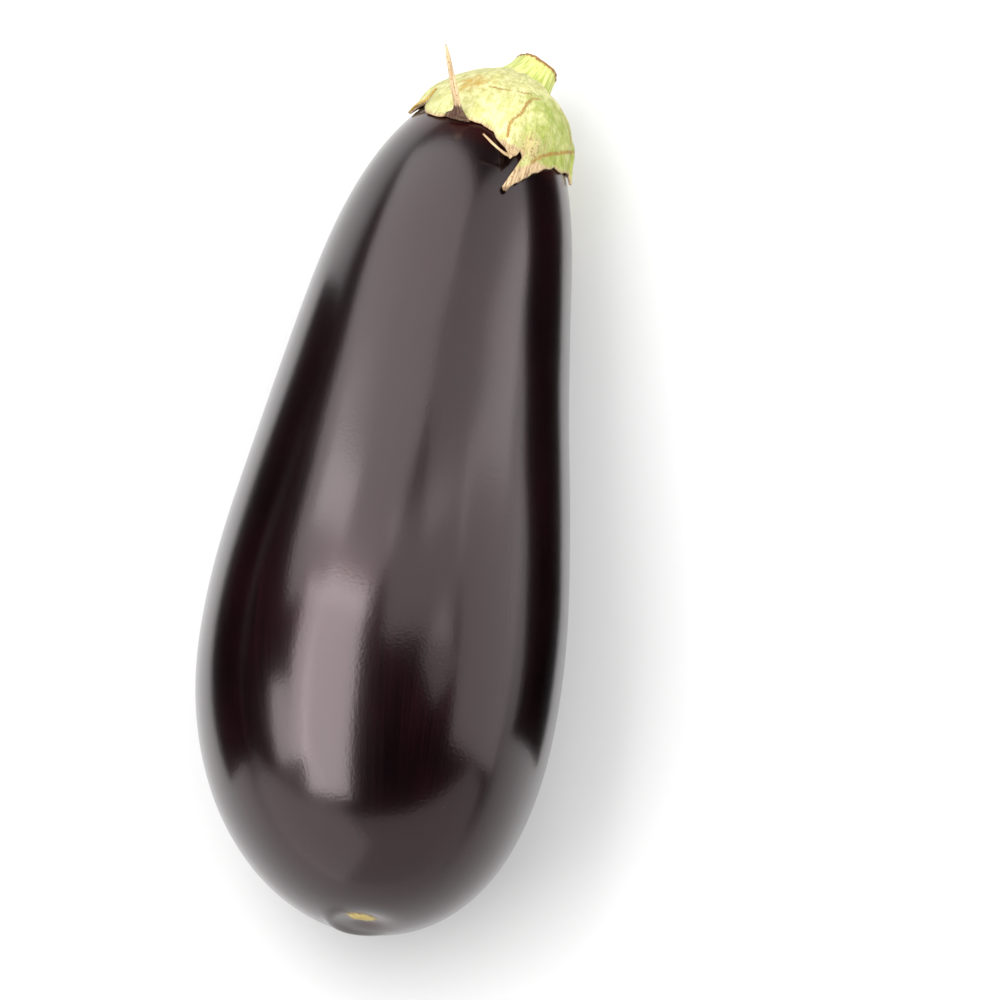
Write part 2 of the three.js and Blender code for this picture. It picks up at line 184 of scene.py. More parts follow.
@dataclass(frozen=True)
class Berry:
    """Smooth form of the fruit as it lies, before any relief: a round section swept along a bowed axis."""

    length: float = 229.0
    half_girth: tuple[float, ...] = (45.6, -11.6, 4.95, 0.65, -0.75, -0.58)
    heading: tuple[float, ...] = (15.0, -48.0, 27.0)
    sway: tuple[float, float] = (1.5, -0.8)
    neck_drop: float = 7.5
    flat_spot_depth: float = 0.25
    axis_steps: int = 1600

    def half_width(self, down: np.ndarray) -> np.ndarray:
        """Half width at `down` radians: sin(down) times the sum of half_girth[k] * cos(k * down)."""
        return np.sin(down) * sum(c * np.cos(k * down) for k, c in enumerate(self.half_girth))

    def axis(self) -> tuple[np.ndarray, np.ndarray, np.ndarray, np.ndarray]:
        """The bowed axis from the stem on, summed from small steps along its heading.

        Returns:
            Share of its length, x, y and heading in radians at each step.
        """
        q = np.linspace(0, 1, self.axis_steps + 1)
        heading = np.radians(sum(c * q**k for k, c in enumerate(self.heading)))
        mean = (heading[1:] + heading[:-1]) / 2
        step = self.length / self.axis_steps
        x = -np.concatenate([[0], np.cumsum(np.sin(mean))]) * step
        y = -np.concatenate([[0], np.cumsum(np.cos(mean))]) * step
        x = x + self.sway[0] * np.sin(2 * np.pi * q) + self.sway[1] * np.sin(3 * np.pi * q)
        return q, x, y, heading

    def weight_centre(self) -> tuple[float, float]:
        """Centre of the volume in the axis's frame: slices weighed by their half width squared.

        Returns:
            Its x and y, millimetres.
        """
        q, x, y, _ = self.axis()
        middle = (q[1:] + q[:-1]) / 2
        weight = self.half_width(np.arccos(1 - 2 * middle)) ** 2
        return (
            float(np.sum(np.interp(middle, q, x) * weight) / weight.sum()),
            float(np.sum(np.interp(middle, q, y) * weight) / weight.sum()),
        )

    def laid(self, turn: np.ndarray, down: np.ndarray) -> np.ndarray:
        """Skin points, tipped by the neck's drop and not yet lifted to the floor.

        A point is the axis at (1 - cos(down)) / 2 of its length, and from there the half width times
        sin(turn) across the axis and times cos(turn) up.

        Args:
            turn: angles round the axis, radians.
            down: angles down from the stem pole, radians.

        Returns:
            Points in millimetres.
        """
        q, x, y, heading = self.axis()
        share = (1 - np.cos(down)) / 2
        way = np.interp(share, q, heading)
        half = self.half_width(down)
        centre_x, centre_y = self.weight_centre()
        px = np.interp(share, q, x) + half * np.sin(turn) * np.cos(way) - centre_x
        py = np.interp(share, q, y) - half * np.sin(turn) * np.sin(way) - centre_y
        pz = half * np.cos(turn)
        tip = math.radians(self.neck_drop)
        return np.stack(
            [px, py * math.cos(tip) + pz * math.sin(tip), pz * math.cos(tip) - py * math.sin(tip)], axis=-1
        )

    def rest_height(self) -> float:
        """Height that puts the lowest point of the belly at the flat spot's depth below the floor."""
        down = np.linspace(0, np.pi, self.axis_steps + 1)
        return float(-self.laid(np.full_like(down, np.pi), down)[:, 2].min() - self.flat_spot_depth)

    def over_skin(self, turn: np.ndarray, down: np.ndarray, height: np.ndarray | float = 0.0) -> np.ndarray:
        """Points `height` out from the skin along its normal.

        Args:
            turn: angles round the axis, degrees.
            down: angles down from the stem pole, degrees.
            height: distance from the skin, millimetres.

        Returns:
            Points in millimetres, in the row frame.
        """
        point, normal, _, _ = self.skin_frame(turn, down)
        return point + normal * np.asarray(height)[..., None]

    def stem_pole(self, height: float = 0.0) -> np.ndarray:
        """Point `height` out from the skin at the stem pole."""
        return self.over_skin(np.zeros(1), np.zeros(1), height)[0]

    def skin_frame(self, turn: np.ndarray, down: np.ndarray) -> tuple[np.ndarray, ...]:
        """Skin points with the directions there, from the differences of points close by.

        Args:
            turn: angles round the axis, degrees.
            down: angles down from the stem pole, degrees.

        Returns:
            Points, and unit vectors along the normal, down the fruit and round it.
        """
        turn, down = np.broadcast_arrays(np.radians(turn), np.radians(down))
        small = 1e-3
        near = np.clip(down, 0.005, np.pi - 0.005)
        ahead = unit(self.laid(turn, near + small) - self.laid(turn, near - small))
        aside = unit(self.laid(turn + small, near) - self.laid(turn - small, near))
        point = self.laid(turn, down) + np.array([0, 0, self.rest_height()])
        return point, unit(np.cross(ahead, aside)), ahead, aside


BERRY = Berry()


def closed_surface(
    name: str, first: np.ndarray, rings: np.ndarray, last: np.ndarray, fields: dict[str, np.ndarray]
) -> bpy.types.Object:
    """Closed smooth mesh from a first point, rings of points and a last point.

    Neighbouring rings are joined by quads and the two end points by triangle fans, turned outward.

    Args:
        name: object's name.
        first: point before the first ring, millimetres.
        rings: points, rings by columns by 3, millimetres.
        last: point after the last ring.
        fields: values for each ring point, rings by columns, or rings by columns by 3; the end points take
            the mean of the nearest ring.

    Returns:
        The object, linked to the scene.
    """
    ring_count, columns = rings.shape[:2]
    points = np.vstack([first[None], rings.reshape(-1, 3), last[None]]) * MM
    column = np.arange(columns)
    after = (column + 1) % columns
    start = 1 + np.arange(ring_count - 1)[:, None] * columns
    quads = np.stack(
        [start + column, start + columns + column, start + columns + after, start + after], axis=-1
    ).reshape(-1, 4)
    end = 1 + (ring_count - 1) * columns
    head = np.stack([np.zeros(columns, int), 1 + column, 1 + after], axis=-1)
    tail = np.stack([np.full(columns, len(points) - 1), end + after, end + column], axis=-1)
    corners = points[quads]
    volume = np.einsum("ij,ij->", corners[:, 0], np.cross(corners[:, 1], corners[:, 2]))
    volume += np.einsum("ij,ij->", corners[:, 0], np.cross(corners[:, 2], corners[:, 3]))
    if volume < 0:
        quads, head, tail = quads[:, ::-1], head[:, ::-1], tail[:, ::-1]
    mesh = bpy.data.meshes.new(name)
    mesh.from_pydata(points.tolist(), [], [*quads.tolist(), *head.tolist(), *tail.tolist()])
    for key, values in fields.items():
        flat = values.reshape(ring_count * columns, -1)
        whole = np.vstack([flat[:columns].mean(0), flat, flat[-columns:].mean(0)])
        kind = "FLOAT" if whole.shape[1] == 1 else "FLOAT_VECTOR"
        attribute = mesh.attributes.new(key, kind, "POINT")
        attribute.data.foreach_set("value" if kind == "FLOAT" else "vector", whole.astype(np.float32).ravel())
    mesh.shade_smooth()
    return add_object(name, mesh)


def new_material(name: str) -> tuple[bpy.types.Material, bpy.types.NodeTree]:
    """Empty node material.

    Args:
        name: material's name.

    Returns:
        The material and its node tree.
    """
    material = bpy.data.materials.new(name)
    material.use_nodes = True
    material.node_tree.nodes.clear()
    return material, material.node_tree


@dataclass(frozen=True)
class WaxedSkin:
    """Aubergine skin: a nearly black purple berry skin under its own thin wax.

    The wax gives the eye a clear, slightly feathered mirror of the lights; the skin under it only a trace of
    wine red, with hair-fine streaks from stem to blossom and a few pale pores. A dark red tint of painted shade
    lies next to the calyx edge and in the blossom dimple.
    """

    deep: str = "040102"
    wine: str = "160507"
    # Dark red tint of painted shade, laid where `shade` marks the skin next to the calyx edge and in the blossom
    # dimple.
    painted_shade_red: str = "220908"
    pore: str = "40302f"
    cork: str = "f0da88"
    cork_dark: str = "8a6a34"
    tint: str = "ffe4e8"
    rough: float = 0.21
    ior: float = 1.5
    wax: float = 0.3
    wax_rough: float = 0.13
    streak_width_mm: float = 0.55
    streak_length_mm: float = 30.0
    pore_spacing_mm: float = 5.0
    cloud_size_mm: float = 28.0
    peel_size_mm: float = 0.7
    crumbs_per_mm: float = 1.9
    cork_rough: float = 0.8

    # Where each pattern starts and is full, and how strong it is there.
    wine_band: tuple[float, float, float] = (0.12, 0.42, 1.0)
    pore_band: tuple[float, float, float] = (0.05, 0.025, 0.5)
    crumb_band: tuple[float, float, float] = (0.5, 0.6, 1.0)

    # The streaks vary the roughness: over which values of their noise, and from which share of `rough` to which.
    streak_range: tuple[float, float] = (0.3, 0.7)
    rough_spread: tuple[float, float] = (0.95, 1.06)

    def make(self) -> bpy.types.Material:
        """Builds the material; `grain` runs along the fruit, `scar` is corky and `shade` lays painted shade as a dark
        red tint by the calyx edge and in the blossom dimple.

        Returns:
            The material.
        """
        material, tree = new_material("waxed_aubergine_skin")
        grain = add_node(tree, "ShaderNodeAttribute", {"attribute_name": "grain"}, out="Vector")
        scar, shade = (
            add_node(tree, "ShaderNodeAttribute", {"attribute_name": mark}, out="Fac") for mark in ("scar", "shade")
        )
        scale = (1 / self.streak_width_mm, 1 / self.streak_width_mm, 1 / self.streak_length_mm)
        drawn_out = add_node(tree, "ShaderNodeMapping", {"Scale": scale}, {"Vector": grain})
        streak, cloud, crumbs, peel = (
            add_node(tree, "ShaderNodeTexNoise", settings, {"Vector": place})
            for place, settings in (
                (drawn_out, {"Scale": 1.0, "Detail": 3.0, "Roughness": 0.6}),
                (grain, {"Scale": 1 / self.cloud_size_mm, "Detail": 2.0}),
                (grain, {"Scale": self.crumbs_per_mm, "Detail": 4.0}),
                (grain, {"Scale": 1 / self.peel_size_mm, "Detail": 2.0}),
            )
        )
        pores = add_node(
            tree, "ShaderNodeTexVoronoi", {"Scale": 1 / self.pore_spacing_mm, "Randomness": 1.0}, {"Vector": grain}
        )
        wine_share = add_node(tree, "ShaderNodeMath", {"operation": "MULTIPLY"}, {0: cloud, 1: streak})
        wine, pore, crumb = (
            add_node(tree, "ShaderNodeMapRange", dict(zip(BAND, band)), {"Value": value})
            for value, band in (
                (wine_share, self.wine_band),
                (pores, self.pore_band),
                (crumbs, self.crumb_band),
            )
        )
        mixed = {"data_type": "RGBA"}
        ripe, cork = (
            add_node(tree, "ShaderNodeMix", mixed | {MIX_A: linear(under), MIX_B: linear(over)}, links, MIX_RESULT)
            for links, under, over in (
                ({MIX_FACTOR: wine}, self.deep, self.wine),
                ({MIX_FACTOR: crumb}, self.cork, self.cork_dark),
            )
        )
        # Painted shade first, a dark red tint next to the calyx edge and in the blossom dimple, then the pale pores.
        for share, over in ((shade, self.painted_shade_red), (pore, self.pore)):
            links = {MIX_FACTOR: share, MIX_A: ripe}
            ripe = add_node(tree, "ShaderNodeMix", mixed | {MIX_B: linear(over)}, links, MIX_RESULT)
        colour = add_node(tree, "ShaderNodeMix", mixed, {MIX_FACTOR: scar, MIX_A: ripe, MIX_B: cork}, MIX_RESULT)
        smoother, rougher = (self.rough * share for share in self.rough_spread)
        spread = {"To Min": smoother} | dict(zip(BAND, (*self.streak_range, rougher)))
        skin_rough = add_node(tree, "ShaderNodeMapRange", spread, {"Value": streak})
        rough = add_node(
            tree, "ShaderNodeMapRange", {"To Max": self.cork_rough}, {"Value": scar, "To Min": skin_rough}
        )
        wax = add_node(tree, "ShaderNodeMapRange", {"To Min": self.wax, "To Max": 0.0}, {"Value": scar})
        fine = add_node(tree, "ShaderNodeBump", {"Strength": 0.2, "Distance": 0.0001}, {"Height": peel})
        streaked = add_node(
            tree, "ShaderNodeBump", {"Strength": 0.04, "Distance": 0.0002}, {"Height": streak, "Normal": fine}
        )
        corky = add_node(
            tree, "ShaderNodeBump", {"Distance": 0.0006}, {"Height": crumbs, "Normal": streaked, "Strength": scar}
        )
        shader = add_node(
            tree,
            "ShaderNodeBsdfPrincipled",
            {
                "IOR": self.ior,
                "Specular Tint": linear(self.tint),
                "Coat IOR": self.ior,
                "Coat Roughness": self.wax_rough,
            },
            {"Base Color": colour, "Roughness": rough, "Normal": corky, "Coat Weight": wax, "Coat Normal": fine},
        )
        add_node(tree, "ShaderNodeOutputMaterial", links={"Surface": shader})
        return material


@dataclass(frozen=True)
class DryingSepal:
    """Fleshy green sepal that is drying from its edge.

    The flesh gives the eye a matt yellow-green with soft mottling and fine fibres that run out from the stem;
    its edge and tips have turned to thin tan husk, with brown seams and specks.
    """

    pale: str = "dcd9a0"
    dapple: str = "b7b364"
    green: str = "92a03e"
    tan: str = "ccb18a"
    brown: str = "7d5a2c"
    rust: str = "a07a36"
    gold: str = "c2a04c"
    char: str = "4e342a"
    rough: float = 0.62
    ior: float = 1.42
    fibre_width_mm: float = 0.35
    fibre_length_mm: float = 7.0
    mottle_size_mm: float = 1.7
    cloud_size_mm: float = 3.2
    grit_size_mm: float = 0.55
    speck_spacing_mm: float = 0.75

    # Where each pattern starts and is full, and how strong it is there.
    dapple_band: tuple[float, float, float] = (0.4, 0.62, 0.8)
    fibre_band: tuple[float, float, float] = (0.5, 0.72, 0.6)
    streak_band: tuple[float, float, float] = (0.47, 0.62, 0.65)
    speck_band: tuple[float, float, float] = (0.42, 0.26, 0.7)

    # Where each marked place starts and is full, once a noise has broken up its border.
    green_band: tuple[float, float] = (0.74, 1.12)
    gold_band: tuple[float, float] = (0.35, 0.75)
    dry_band: tuple[float, float] = (0.4, 0.95)
    seam_band: tuple[float, float] = (0.62, 1.0)
    char_band: tuple[float, float] = (0.55, 1.0)

    def make(self) -> bpy.types.Material:
        """Builds the material from the attributes that Calyx.marks places.

        Returns:
            The material.
        """
        material, tree = new_material("drying_sepal")
        grain = add_node(tree, "ShaderNodeAttribute", {"attribute_name": "grain"}, out="Vector")
        green, dry, seam, gold, char, clean = (
            add_node(tree, "ShaderNodeAttribute", {"attribute_name": mark}, out="Fac")
            for mark in ("green", "dry", "seam", "gold", "char", "clean")
        )
        scale = (1 / self.fibre_width_mm, 1 / self.fibre_width_mm, 1 / self.fibre_length_mm)
        drawn_out = add_node(tree, "ShaderNodeMapping", {"Scale": scale}, {"Vector": grain})
        mottle, cloud, grit, fibre = (
            add_node(tree, "ShaderNodeTexNoise", settings, {"Vector": place})
            for place, settings in (
                (grain, {"Scale": 1 / self.mottle_size_mm, "Detail": 5.0, "Roughness": 0.6}),
                (grain, {"Scale": 1 / self.cloud_size_mm, "Detail": 6.0, "Roughness": 0.72, "Distortion": 0.4}),
                (grain, {"Scale": 1 / self.grit_size_mm, "Detail": 2.0}),
                (drawn_out, {"Scale": 1.0, "Detail": 4.0, "Roughness": 0.65}),
            )
        )
        specks = add_node(
            tree, "ShaderNodeTexVoronoi", {"Scale": 1 / self.speck_spacing_mm, "Randomness": 1.0}, {"Vector": grain}
        )
        rarer = add_node(tree, "ShaderNodeMath", {"operation": "ADD"}, {0: specks, 1: clean})
        dapple, fibres, husk_streaks, speck = (
            add_node(tree, "ShaderNodeMapRange", dict(zip(BAND, band)), {"Value": value})
            for value, band in (
                (mottle, self.dapple_band),
                (fibre, self.fibre_band),
                (fibre, self.streak_band),
                (rarer, self.speck_band),
            )
        )
        streak = add_node(tree, "ShaderNodeMath", {"operation": "MULTIPLY"}, {0: husk_streaks, 1: dry})

        def ragged(
            mark: bpy.types.NodeSocket, noise: bpy.types.NodeSocket, band: tuple[float, float]
        ) -> bpy.types.NodeSocket:
            """Mark whose border is broken up: mark + noise - 0.5, taken from the band to 0..1.

            Args:
                mark: how far a place is marked.
                noise: pattern that breaks up the border.
                band: where the mark starts and is full, for a noise of 0.5.

            Returns:
                The broken-up mark, 0 to 1.
            """
            summed = add_node(tree, "ShaderNodeMath", {"operation": "ADD"}, {0: mark, 1: noise})
            sums = dict(zip(BAND, (edge + 0.5 for edge in band)))
            return add_node(tree, "ShaderNodeMapRange", sums, {"Value": summed})

        colour = None
        for share, over in (
            (dapple, self.dapple),
            (ragged(green, cloud, self.green_band), self.green),
            (fibres, self.green),
            (ragged(gold, mottle, self.gold_band), self.gold),
            (ragged(dry, fibre, self.dry_band), self.tan),
            (streak, self.brown),
            (ragged(seam, grit, self.seam_band), self.rust),
            (ragged(char, fibre, self.char_band), self.char),
            (speck, self.brown),
        ):
            settings = {"data_type": "RGBA", MIX_A: linear(self.pale), MIX_B: linear(over)}
            links = {MIX_FACTOR: share} if colour is None else {MIX_FACTOR: share, MIX_A: colour}
            colour = add_node(tree, "ShaderNodeMix", settings, links, MIX_RESULT)
        soft = add_node(tree, "ShaderNodeBump", {"Strength": 0.7, "Distance": 0.0012}, {"Height": mottle})
        fibred = add_node(
            tree, "ShaderNodeBump", {"Strength": 0.6, "Distance": 0.0004}, {"Height": fibre, "Normal": soft}
        )
        shader = add_node(
            tree,
            "ShaderNodeBsdfPrincipled",
            {"IOR": self.ior, "Roughness": self.rough},
            {"Base Color": colour, "Normal": fibred},
        )
        add_node(tree, "ShaderNodeOutputMaterial", links={"Surface": shader})
        return material


@dataclass(frozen=True)
class WhiteFloor:
    """Matt white laminate of a photo table: even, pale and without a pattern."""

    colour: str = "d0d0d0"
    rough: float = 0.75

    def make(self) -> bpy.types.Material:
        """Builds the material.

        Returns:
            The material.
        """
        material, tree = new_material("white_laminate")
        settings = {"Base Color": linear(self.colour), "Roughness": self.rough}
        shader = add_node(tree, "ShaderNodeBsdfPrincipled", settings)
        add_node(tree, "ShaderNodeOutputMaterial", links={"Surface": shader})
        return material


@dataclass
class BlossomEnd:
    """Relief of the end where the flower was: a shallow dimple, a corky scar on its upper side and a lip.

    Places are across the end of the fruit, x to the side and z up.
    """

    dimple: tuple[float, float, float, float] = (-1.8, 0.9, 5.4, 1.8)
    scar: tuple[float, float, float, float] = (-2.9, 3.2, 3.3, 2.2)
    scar_tilt: float = 38.0
    scar_rise: float = 0.5
    scar_edge: int = 10
    scar_waves: tuple[tuple[float, float, float], ...] = ((0.07, 5, 0), (0.05, 11, 1))
    lip: tuple[float, float, float, float] = (-1.8, 0.4, 8.4, 1.6)
    lip_rise: float = 0.8
    lip_towards: float = 235.0

    def relief(self, turn: np.ndarray, down: np.ndarray) -> tuple[np.ndarray, np.ndarray]:
        """Relief of the end.

        The dimple is a bell curve, the scar a flat-topped oval with an uneven edge, and the lip a ridge on a
        circle that fades away from its bearing.

        Args:
            turn: angles round the axis, degrees.
            down: angles down from the stem pole, degrees.

        Returns:
            Heights over the smooth skin in millimetres, and how far each place is scar, 0 to 1.
        """
        reach = BERRY.half_width(np.radians(down))
        x, z = reach * np.sin(np.radians(turn)), reach * np.cos(np.radians(turn))
        x0, z0, radius, depth = self.dimple
        dimple = -depth * hump(np.hypot(x - x0, z - z0), radius)
        x1, z1, half_wide, half_high = self.scar
        tilt = math.radians(self.scar_tilt)
        long_way = (x - x1) * math.cos(tilt) - (z - z1) * math.sin(tilt)
        short_way = (x - x1) * math.sin(tilt) + (z - z1) * math.cos(tilt)
        oval = np.hypot(long_way / half_wide, short_way / half_high)
        bearing = np.arctan2(x - x1, z - z1)
        uneven = 1 + sum(high * np.sin(count * bearing + shift) for high, count, shift in self.scar_waves)
        scar = 1 / (1 + (oval / uneven) ** self.scar_edge)
        x2, z2, ring, width = self.lip
        facing = np.clip(np.cos(np.arctan2(x - x2, z - z2) - math.radians(self.lip_towards)), 0, 1)
        lip = self.lip_rise * facing * hump(np.hypot(x - x2, z - z2) - ring, width)
        near = (down > 90).astype(float)
        return (dimple + lip + self.scar_rise * scar) * near, scar * near


@dataclass
class Fruit:
    """The berry: smooth waxed skin with faint long swells and its blossom end."""

    columns: int = 256
    rings: int = 300
    blossom_rings: int = 60
    blossom_span: float = 14.0
    swell: float = 0.12
    grain_radius: float = 40.0
    # Bands of painted shade, a dark red tint next to the calyx edge and in the blossom dimple: down where each starts
    # and is full.
    stem_shade: tuple[float, float] = (45, 40)
    blossom_shade: tuple[float, float] = (174, 179)
    end: BlossomEnd = field(default_factory=BlossomEnd)
    finish: WaxedSkin = WaxedSkin()

    def build(self) -> bpy.types.Object:
        """Makes the skin.

        Points are the skin's own, moved out by the blossom end's relief and by faint swells
        sin(3 turn) * sin(4 down) and the like, and no lower than the floor.

        Returns:
            The dressed skin.
        """
        body = np.linspace(0, 180 - self.blossom_span, self.rings + 1)[1:]
        blossom = 180 - self.blossom_span * np.linspace(1, 0, self.blossom_rings + 1)[1:-1]
        down = np.concatenate([body, blossom])[:, None]
        turn = np.arange(self.columns)[None] * 360 / self.columns
        down, turn = np.broadcast_arrays(down, turn)
        relief, scar = self.end.relief(turn, down)
        t, d = np.radians(turn), np.radians(down)
        swells = np.sin(3 * t + 1) * np.sin(4 * d) + 0.6 * np.sin(5 * t) * np.sin(9 * d) ** 2
        points = BERRY.over_skin(turn, down, relief + self.swell * swells * np.sin(d))
        points[..., 2] = np.maximum(points[..., 2], 0)
        grain = wrapped_grain(self.grain_radius, t, BERRY.length * (1 - np.cos(d)) / 2)
        poles = BERRY.over_skin(np.zeros(2), np.array([0.0, 180.0]))
        last = poles[1] + (points[-1].mean(0) - BERRY.over_skin(turn[-1], down[-1]).mean(0))
        # Painted shade: a dark red tint on the skin next to the calyx edge and in the blossom dimple.
        shade = np.maximum(smooth_step(down, *self.stem_shade), smooth_step(down, *self.blossom_shade))
        skin = closed_surface("fruit_skin", poles[0], points, last, {"grain": grain, "scar": scar, "shade": shade})
        skin.data.materials.append(self.finish.make())
        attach(skin, BODY)
        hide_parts("fruit")
        return skin


@dataclass(frozen=True)
class Lobe:
    """Narrow dry end of a sepal.

    Attributes:
        name: object's name.
        path: control rows of turn, down and height over the skin.
        widths: widths along the path.
        thickness: thickness of the blade.
        across: angle that turns its flat side from round the fruit towards down it.
        keel: how far its middle stands out of its sides.
        char: how dark its root and its middle line are, 0 to 1.
        gold: how golden it is, 0 to 1.
    """

    name: str
    path: tuple[tuple[float, float, float], ...]
    widths: tuple[float, ...]
    thickness: float
    across: float
    keel: float = 0.0
    char: float = 0.0
    gold: float = 0.0


@dataclass
class Calyx:
    """Cap of fused sepals that hugs the stem end, with pointed lobes, one of them bent back."""

    edge_height: float = 0.85
    cap_height: float = 3.5
    edge_fade: float = 5.0
    under_gap: float = 0.12
    collar: tuple[float, float] = (1.9, 9.5)
    ridge: tuple[float, float] = (0.5, 9.0)
    shoulder: tuple[float, float, float, float] = (1.3, 58.0, 23.0, 34.0)
    rib_angles: tuple[float, ...] = (-64, -14, 18, 42, 79, 140, 222)
    bump_heights: tuple[float, float] = (0.22, 0.12)
    fibre_height: float = 0.05
    steps: int = 10
    body_rings: int = 60
    lobe_rings: int = 26
    back_step: int = 8
    blade_steps: int = 14
    blade_sides: int = 16
    finish: DryingSepal = DryingSepal()

    # The root line, where the body ends and the lobes start: share of the edge's down, and its limit.
    root_share: float = 0.84
    root_limit: float = 40
    lobe_reach: float = 7

    # The lobes turn dry outward, and the long ones sooner: beyond which down, over how much more, by how much.
    dry_band: tuple[float, float] = (0.82, 1.1)
    long_lobe: tuple[float, float, float] = (41, 5, 0.45)

    # The grain is a cylinder's: its radius, and its length and the skin's width for each degree.
    grain_radius: float = 20
    grain_per_down: float = 0.95
    width_per_turn: float = 0.7

    # Coloured places: turn, down and reach of a spot, and how strong each of them is.
    seam_width: float = 0.75
    golden: tuple[float, float, float] = (-19, 27.5, 5.5)
    most_gold: float = 0.68
    pepper: tuple[float, float, float] = (31, 40.5, 5.5)
    husk_share: float = 0.75
    most_clean: float = 0.36
    green_turn: tuple[float, float, float] = (62, 72, 28)
    green_down: tuple[float, float] = (14, 26)

    # Places on the long lobe: strength, where down it starts and is full, turn and half width.
    held_tip: tuple[float, ...] = (0.85, 46, 50, 22, 12)
    charred: tuple[tuple[float, ...], ...] = ((0.9, 50.2, 51.2, 20.5, 6), (0.6, 42.5, 46.5, 24, 9))

    # Places on a blade, by the share of its length: where each starts and is full.
    root_char: tuple[float, float] = (0.44, 0.34)
    vein_char: tuple[float, float] = (0.75, 0.4)
    gold_end: tuple[float, float] = (0.84, 0.95)
    rusty_end: tuple[float, float] = (0.86, 0.97)

    # The edge as rows of turn, down and the turn of the row's root, one stretch from tip to tip.
    edge: tuple = (
        (
            (-64, 34.6, -62), (-56, 33.4, -56), (-49, 33.0, -49.5), (-45, 34.7, -45.5), (-38.5, 36.5, -38.5),
            (-25.5, 38.5, -25.5), (-14, 38.4, -14), (-4, 37.8, -4), (3, 38.2, 3), (9, 39.8, 9),
            (14.5, 42.0, 13.5), (20.0, 45.4, 17.5),
        ),
        (
            (20.0, 45.4, 17.5), (23.2, 44.2, 21.5), (25.5, 42.2, 25.5), (28.2, 43.6, 28.6), (27.2, 45.8, 29.2),
            (23.4, 48.4, 30.2), (21.3, 50.4, 30.9), (20.4, 51.5, 31.3),
        ),
        (
            (20.4, 51.5, 31.3), (21.9, 51.2, 31.9), (25.0, 49.8, 32.6), (29.7, 47.8, 33.6), (36.5, 44.6, 37.5),
            (44, 42.0, 44.5), (53, 39.8, 53), (60, 38.3, 60), (70, 36.2, 70), (76.6, 35.4, 75.5), (79, 37.6, 77),
        ),
        (
            (79, 37.6, 77), (80.8, 35.0, 79.5), (87, 33.0, 87), (104, 31.6, 104), (125, 34.8, 124),
            (135, 39.6, 132), (141.5, 44.5, 137), (145, 49.0, 140),
        ),
        (
            (145, 49.0, 140), (145, 44.4, 142), (147, 39.4, 146), (153, 35.2, 152), (172, 31.6, 172),
            (192, 31.4, 192), (209, 35.4, 209), (217, 40.4, 215), (218.5, 45.6, 219), (216, 50.6, 221),
        ),
        (
            (216, 50.6, 221), (221.5, 46.2, 223), (227, 40.2, 227), (236, 35.4, 236), (254, 31.2, 254),
            (275, 30.0, 275), (288, 30.8, 288), (296, 34.6, 298),
        ),
    )

    # Places where the edge stands off the skin: turn, width and how far.
    lifts: tuple[tuple[float, float, float], ...] = (
        (20, 5, 2.5), (30, 5, 0.4), (-12, 9, 0.6), (-58, 9, 0.5), (144, 8, 0.5), (218, 8, 0.6), (79, 5, 0.4),
    )

    # Brown seams as chains of turn and down.
    seams: tuple = (
        ((16.5, 40.5), (16, 39), (15.5, 37.2), (17.5, 35.2), (20, 33.8)),
        ((20, 33.8), (21.5, 30.5), (22.5, 29), (26.5, 26.4), (31, 25.4)),
        ((33, 43.2), (39.5, 40), (48, 37.2), (62, 33.2), (78, 29.5)),
        ((-4.5, 27.8), (3, 27.6), (8.5, 27)),
        ((15, 26.6), (19, 26.2), (24, 25.2)),
        ((112, 20), (118, 28), (122, 33)),
        ((190, 18), (186, 25), (192, 30)),
        ((262, 20), (255, 26)),
        ((59, 21), (63, 24), (66, 27), (68, 30)),
    )

    lobes: tuple[Lobe, ...] = (
        Lobe(
            "calyx_lobe_bent_back",
            ((-14, 38.9, 0.8), (-13.5, 38.5, 4.0), (-16.5, 36.9, 9.5), (-27, 30.6, 14.8)),
            (7.2, 6.0, 4.2, 2.6, 1.9, 1.9, 2.1, 1.7, 1.3, 1.2, 0.4), 0.6, 0, keel=0.3, char=1.0,
        ),
        Lobe(
            "calyx_thread",
            ((20, 45.0, 2.4), (16, 45.2, 2.8), (10, 44.8, 3.8), (4.5, 44.2, 5.0)), (1.4, 0.85, 0.8, 0.6), 0.5, 90,
        ),
        Lobe(
            "calyx_lifted_edge",
            ((-47, 29.5, 2.6), (-46.5, 33.0, 1.9), (-55.5, 33.8, 1.6), (-64, 34.4, 1.2)),
            (0.5, 1.3, 1.7, 1.2, 1.1), 0.55, 60, gold=1.0,
        ),
    )

    def edge_course(self) -> np.ndarray:
        """Samples the edge and frays its outline with a smoothed, seeded noise.

        Returns:
            Rows of turn, down and root turn, degrees.
        """
        rows = [through_points(np.array(stretch, float), self.steps)[:-1] for stretch in self.edge]
        course = np.vstack(rows)
        rng = np.random.default_rng(SEED)
        for reach, depth in ((3, 0.35), (11, 0.5)):
            kernel = np.hanning(2 * reach + 3)
            noise = rng.normal(size=len(course) + 2 * len(kernel))
            smooth = np.convolve(noise, kernel / np.linalg.norm(kernel), "same")[len(kernel) : -len(kernel)]
            course[:, 1] += depth * 0.5 * smooth
        return course

